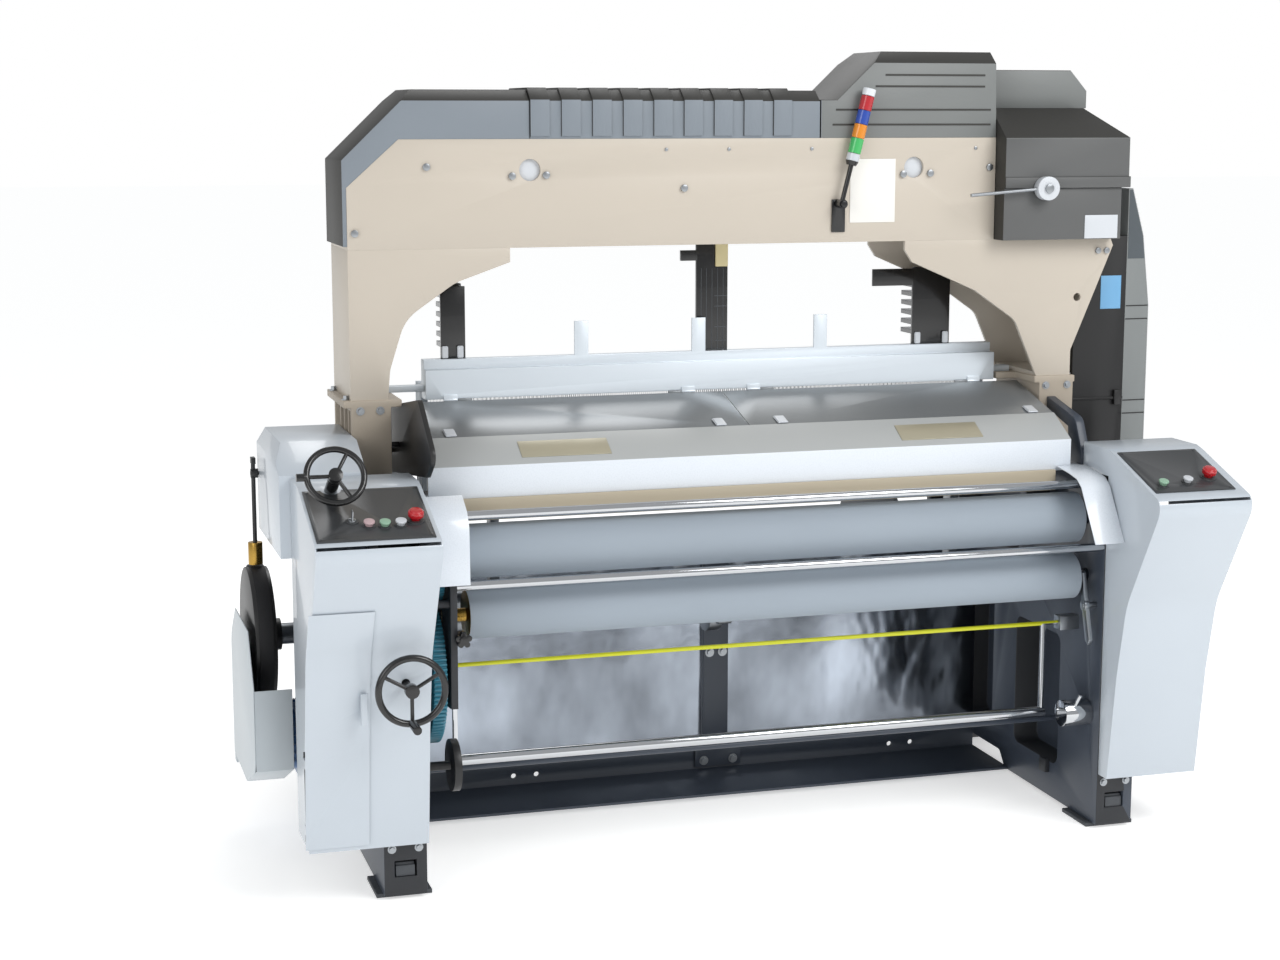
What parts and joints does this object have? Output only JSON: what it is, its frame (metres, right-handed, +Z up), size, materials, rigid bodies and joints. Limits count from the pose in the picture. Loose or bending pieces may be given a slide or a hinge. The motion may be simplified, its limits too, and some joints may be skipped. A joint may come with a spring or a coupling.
{
  "type": "power loom",
  "caption": "Rapier-type power loom with gantry, dobby box, heald frames, take-up rollers, side consoles, warp beam and belt drive.",
  "frame": {"origin": "centre of the overall outline at floor level", "axes": "+X along the machine's width to the right as the weaver sees it, +Y from the weaver's side to the warp beam, +Z up"},
  "size_m": [2.745, 2.0298, 2.229],
  "materials": {
    "slate_paint": "satin",
    "beige_paint": "satin",
    "charcoal_paint": "satin",
    "grey_paint": "satin",
    "console_paint": "satin",
    "panel_plastic": "matte",
    "white_paint": "satin",
    "rail_aluminium": "satin",
    "roller_steel": "brushed",
    "bright_steel": "polished",
    "dull_steel": "brushed",
    "teal_gear": "satin",
    "black_paint": "satin",
    "blue_paint": "satin",
    "black_rubber": "matte",
    "lamp_plastic": "gloss",
    "black_plastic": "gloss",
    "red_plastic": "gloss",
    "green_plastic": "gloss",
    "pink_plastic": "gloss",
    "plate_metal": "satin",
    "cast_iron_grey": "rough",
    "belt_guard_paint": "satin"
  },
  "bodies": {
    "machine_frame": {"side_frame_left": "slate_paint", "side_frame_right": "slate_paint", "levelling_feet": "cast_iron_grey", "stretchers": "slate_paint", "guard_sheet": "bright_steel", "cast_pedestals": "beige_paint", "gantry_legs": "beige_paint", "gantry_beam": "beige_paint", "gantry_fittings": "dull_steel", "top_covers": "charcoal_paint", "dobby_box": "charcoal_paint", "rear_casing": "grey_paint", "blank_plates": "plate_metal", "tower_bracket": "dull_steel", "heald_rail": "rail_aluminium", "heald_guides": "black_plastic", "breast_cover": "white_paint", "guard_arms": "slate_paint", "corner_covers": "white_paint", "console_left": "console_paint", "console_right": "console_paint", "console_panels": "panel_plastic", "guide_bars": "bright_steel", "main_motor": "blue_paint", "drive_belt": "black_rubber", "drive_guards": "belt_guard_paint", "bearing_housings": "cast_iron_grey"},
    "signal_lamps_body": {"signal_lamps": "lamp_plastic"},
    "dobby_lever_body": {"dobby_lever": "dull_steel"},
    "heald_frame_1_body": {"heald_frame_1": "rail_aluminium"},
    "heald_frame_2_body": {"heald_frame_2": "rail_aluminium"},
    "heald_frame_3_body": {"heald_frame_3": "rail_aluminium"},
    "heald_frame_4_body": {"heald_frame_4": "rail_aluminium"},
    "lid_left_body": {"lid_left": "white_paint"},
    "lid_right_body": {"lid_right": "white_paint"},
    "console_door_body": {"console_door": "console_paint"},
    "door_latch_body": {"door_latch": "console_paint"},
    "upper_handwheel_body": {"upper_handwheel": "black_plastic"},
    "front_handwheel_body": {"front_handwheel": "black_plastic"},
    "take_up_roller_body": {"take_up_roller": "roller_steel"},
    "press_roller_body": {"press_roller": "roller_steel"},
    "take_up_gear_body": {"take_up_gear": "teal_gear"},
    "swing_bar_body": {"swing_bar": "bright_steel"},
    "release_lever_body": {"release_lever": "dull_steel"},
    "star_knob_body": {"star_knob": "black_plastic"},
    "cloth_hubs_body": {"cloth_hubs": "bright_steel"},
    "sley_body": {"sley": "dull_steel"},
    "main_shaft_body": {"main_shaft": "black_paint"},
    "motor_pulley_body": {"motor_pulley": "dull_steel"},
    "brake_lever_body": {"brake_lever": "dull_steel"},
    "warp_beam_body": {"warp_beam": "cast_iron_grey"},
    "back_rest_body": {"back_rest": "roller_steel"},
    "left_key_switch_body": {"left_key_switch": "dull_steel"},
    "left_button_a_body": {"left_button_a": "pink_plastic"},
    "left_button_b_body": {"left_button_b": "green_plastic"},
    "left_button_c_body": {"left_button_c": "black_plastic"},
    "left_stop_button_body": {"left_stop_button": "red_plastic"},
    "right_button_a_body": {"right_button_a": "green_plastic"},
    "right_button_b_body": {"right_button_b": "black_plastic"},
    "right_stop_button_body": {"right_stop_button": "red_plastic"}
  },
  "joints": [
    {"name": "take_up_gear_turn", "type": "hinge", "parent": "machine_frame", "child": "take_up_gear_body", "pos_m": [-0.9195, -0.54, 0.575], "axis": [1, 0, 0], "continuous": true},
    {"name": "take_up_roller_turn", "type": "hinge", "parent": "machine_frame", "child": "take_up_roller_body", "pos_m": [0.0225, -0.605, 0.905], "axis": [1, 0, 0], "continuous": true},
    {"name": "press_roller_turn", "type": "hinge", "parent": "machine_frame", "child": "press_roller_body", "pos_m": [0.0225, -0.615, 0.735], "axis": [1, 0, 0], "continuous": true},
    {"name": "cloth_hubs_turn", "type": "hinge", "parent": "machine_frame", "child": "cloth_hubs_body", "pos_m": [0.0225, -0.653, 0.335], "axis": [1, 0, 0], "continuous": true},
    {"name": "main_shaft_turn", "type": "hinge", "parent": "machine_frame", "child": "main_shaft_body", "pos_m": [0.0225, -0.125, 0.6], "axis": [1, 0, 0], "continuous": true},
    {"name": "motor_pulley_turn", "type": "hinge", "parent": "machine_frame", "child": "motor_pulley_body", "pos_m": [-1.3195, -0.085, 0.29], "axis": [1, 0, 0], "continuous": true},
    {"name": "warp_beam_turn", "type": "hinge", "parent": "machine_frame", "child": "warp_beam_body", "pos_m": [0.0225, 0.675, 0.5], "axis": [1, 0, 0], "continuous": true},
    {"name": "back_rest_turn", "type": "hinge", "parent": "machine_frame", "child": "back_rest_body", "pos_m": [0.0225, 0.455, 1], "axis": [1, 0, 0], "continuous": true},
    {"name": "upper_handwheel_turn", "type": "hinge", "parent": "machine_frame", "child": "upper_handwheel_body", "pos_m": [-1.1995, -0.825, 1.155], "axis": [0, -0.866, 0.5], "continuous": true},
    {"name": "front_handwheel_turn", "type": "hinge", "parent": "machine_frame", "child": "front_handwheel_body", "pos_m": [-1.0325, -0.925, 0.619], "axis": [0, -1, 0], "continuous": true},
    {"name": "star_knob_turn", "type": "hinge", "parent": "machine_frame", "child": "star_knob_body", "pos_m": [-0.8625, -0.745, 0.7], "axis": [0, -1, 0], "continuous": true},
    {"name": "sley_turn", "type": "hinge", "parent": "machine_frame", "child": "sley_body", "pos_m": [0.0225, -0.295, 0.7], "axis": [1, 0, 0], "range_deg": [-6, 10]},
    {"name": "lid_left_turn", "type": "hinge", "parent": "machine_frame", "child": "lid_left_body", "pos_m": [-0.4475, -0.22, 1.261], "axis": [-1, 0, 0], "range_deg": [0, 70]},
    {"name": "lid_right_turn", "type": "hinge", "parent": "machine_frame", "child": "lid_right_body", "pos_m": [0.4925, -0.22, 1.261], "axis": [-1, 0, 0], "range_deg": [0, 30]},
    {"name": "console_door_turn", "type": "hinge", "parent": "machine_frame", "child": "console_door_body", "pos_m": [-1.2855, -0.773, 0.5], "axis": [0, 0, 1], "range_deg": [-100, 0]},
    {"name": "door_latch_turn", "type": "hinge", "parent": "console_door_body", "child": "door_latch_body", "pos_m": [-1.1425, -0.845, 0.559], "axis": [0, -1, 0], "range_deg": [0, 90]},
    {"name": "signal_lamps_turn", "type": "hinge", "parent": "machine_frame", "child": "signal_lamps_body", "pos_m": [0.3325, -0.363, 1.8], "axis": [0, 1, 0], "range_deg": [-30, 30]},
    {"name": "dobby_lever_turn", "type": "hinge", "parent": "machine_frame", "child": "dobby_lever_body", "pos_m": [0.9465, -0.421, 1.84], "axis": [0, 1, 0], "range_deg": [-25, 25]},
    {"name": "swing_bar_turn", "type": "hinge", "parent": "machine_frame", "child": "swing_bar_body", "pos_m": [0.0225, -0.565, 0.585], "axis": [1, 0, 0], "range_deg": [-25, 25]},
    {"name": "release_lever_turn", "type": "hinge", "parent": "machine_frame", "child": "release_lever_body", "pos_m": [0.9725, -0.683, 0.66], "axis": [1, 0, 0], "range_deg": [-10, 0]},
    {"name": "brake_lever_turn", "type": "hinge", "parent": "machine_frame", "child": "brake_lever_body", "pos_m": [-1.3225, -0.135, 1.065], "axis": [1, 0, 0], "range_deg": [-5, 5]},
    {"name": "heald_frame_1_slide", "type": "slide", "parent": "machine_frame", "child": "heald_frame_1_body", "axis": [0, 0, 1], "range_m": [-0.04, 0.04]},
    {"name": "heald_frame_2_slide", "type": "slide", "parent": "machine_frame", "child": "heald_frame_2_body", "axis": [0, 0, 1], "range_m": [-0.04, 0.04]},
    {"name": "heald_frame_3_slide", "type": "slide", "parent": "machine_frame", "child": "heald_frame_3_body", "axis": [0, 0, 1], "range_m": [-0.04, 0.04]},
    {"name": "heald_frame_4_slide", "type": "slide", "parent": "machine_frame", "child": "heald_frame_4_body", "axis": [0, 0, 1], "range_m": [-0.04, 0.04]},
    {"name": "left_button_a_slide", "type": "slide", "parent": "machine_frame", "child": "left_button_a_body", "axis": [0, -0.3318, 0.9433], "range_m": [-0.004, 0], "stiffness_N_per_m": 800},
    {"name": "left_button_b_slide", "type": "slide", "parent": "machine_frame", "child": "left_button_b_body", "axis": [0, -0.3318, 0.9433], "range_m": [-0.004, 0], "stiffness_N_per_m": 800},
    {"name": "left_button_c_slide", "type": "slide", "parent": "machine_frame", "child": "left_button_c_body", "axis": [0, -0.3318, 0.9433], "range_m": [-0.004, 0], "stiffness_N_per_m": 800},
    {"name": "right_button_a_slide", "type": "slide", "parent": "machine_frame", "child": "right_button_a_body", "axis": [0, -0.3318, 0.9433], "range_m": [-0.004, 0], "stiffness_N_per_m": 800},
    {"name": "right_button_b_slide", "type": "slide", "parent": "machine_frame", "child": "right_button_b_body", "axis": [0, -0.3318, 0.9433], "range_m": [-0.004, 0], "stiffness_N_per_m": 800},
    {"name": "left_stop_button_slide", "type": "slide", "parent": "machine_frame", "child": "left_stop_button_body", "axis": [0, -0.3318, 0.9433], "range_m": [-0.005, 0]},
    {"name": "right_stop_button_slide", "type": "slide", "parent": "machine_frame", "child": "right_stop_button_body", "axis": [0, -0.3318, 0.9433], "range_m": [-0.005, 0]},
    {"name": "left_key_switch_turn", "type": "hinge", "parent": "machine_frame", "child": "left_key_switch_body", "pos_m": [-1.1715, -0.90756, 1.05915], "axis": [0, -0.3318, 0.9433], "range_deg": [0, 90]}
  ],
  "couplings": [
    {"joint": "take_up_roller_turn", "follows": "take_up_gear_turn", "ratio": -1.4769},
    {"joint": "press_roller_turn", "follows": "take_up_gear_turn", "ratio": 1.6336},
    {"joint": "motor_pulley_turn", "follows": "main_shaft_turn", "ratio": 4.3333}
  ]
}
